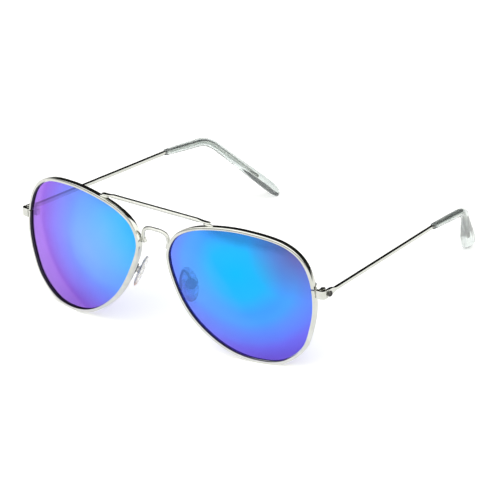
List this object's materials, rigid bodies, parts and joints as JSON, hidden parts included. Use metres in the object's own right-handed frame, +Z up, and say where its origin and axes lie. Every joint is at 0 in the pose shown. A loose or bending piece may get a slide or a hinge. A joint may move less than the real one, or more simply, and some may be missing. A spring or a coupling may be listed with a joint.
{
  "type": "aviator sunglasses",
  "caption": "Metal-framed aviator sunglasses with teardrop mirrored lenses, straight brow bar, arched bridge, nose pads on wire arms and folding wire temples with clear plastic tips.",
  "frame": {"origin": "on the table plane, below the middle of the open sunglasses' bounding box", "axes": "+X towards the wearer's left, the lenses face -Y, the open temples run towards +Y, +Z up"},
  "size_m": [0.139, 0.1292, 0.0512],
  "materials": {
    "polished_metal": "polished silver plating",
    "screw_steel": "turned steel",
    "mirror_lens": "blue to violet flash mirror coating over a grey tint",
    "pad_silicone": "clear soft silicone",
    "tip_plastic": "clear cool grey moulded plastic"
  },
  "bodies": {
    "frame": {"nose_bridge": "polished_metal", "brow_bar": "polished_metal", "left_rim": "polished_metal", "left_lens": "mirror_lens", "left_pad_arm": "polished_metal", "left_closing_block_upper": "polished_metal", "left_closing_block_lower": "polished_metal", "left_closing_screw": "screw_steel", "left_end_piece": "polished_metal", "left_hinge_leaf_frame": "polished_metal", "left_hinge_screw": "screw_steel", "left_pad_screw": "screw_steel", "right_rim": "polished_metal", "right_lens": "mirror_lens", "right_pad_arm": "polished_metal", "right_closing_block_upper": "polished_metal", "right_closing_block_lower": "polished_metal", "right_closing_screw": "screw_steel", "right_end_piece": "polished_metal", "right_hinge_leaf_frame": "polished_metal", "right_hinge_screw": "screw_steel", "right_pad_screw": "screw_steel"},
    "left_temple": {"left_hinge_leaf_temple": "polished_metal", "left_temple_wire": "polished_metal", "left_temple_rivet": "screw_steel", "left_temple_tip": "tip_plastic"},
    "right_temple": {"right_hinge_leaf_temple": "polished_metal", "right_temple_wire": "polished_metal", "right_temple_rivet": "screw_steel", "right_temple_tip": "tip_plastic"},
    "left_pad": {"left_nose_pad": "pad_silicone"},
    "right_pad": {"right_nose_pad": "pad_silicone"}
  },
  "joints": [
    {"name": "left_temple_fold", "type": "hinge", "parent": "frame", "child": "left_temple", "pos_m": [0.0662, -0.05063, 0.03027], "axis": [0, 0, 1], "range_deg": [0, 78]},
    {"name": "right_temple_fold", "type": "hinge", "parent": "frame", "child": "right_temple", "pos_m": [-0.0662, -0.05063, 0.03027], "axis": [0, 0, -1], "range_deg": [0, 68]},
    {"name": "left_pad_rock", "type": "hinge", "parent": "frame", "child": "left_pad", "pos_m": [0.0126, -0.05847, 0.02324], "axis": [0.4998, 0.8661, 0], "range_deg": [-10, 10]},
    {"name": "right_pad_rock", "type": "hinge", "parent": "frame", "child": "right_pad", "pos_m": [-0.0126, -0.05847, 0.02324], "axis": [-0.4998, 0.8661, 0], "range_deg": [-10, 10]}
  ]
}
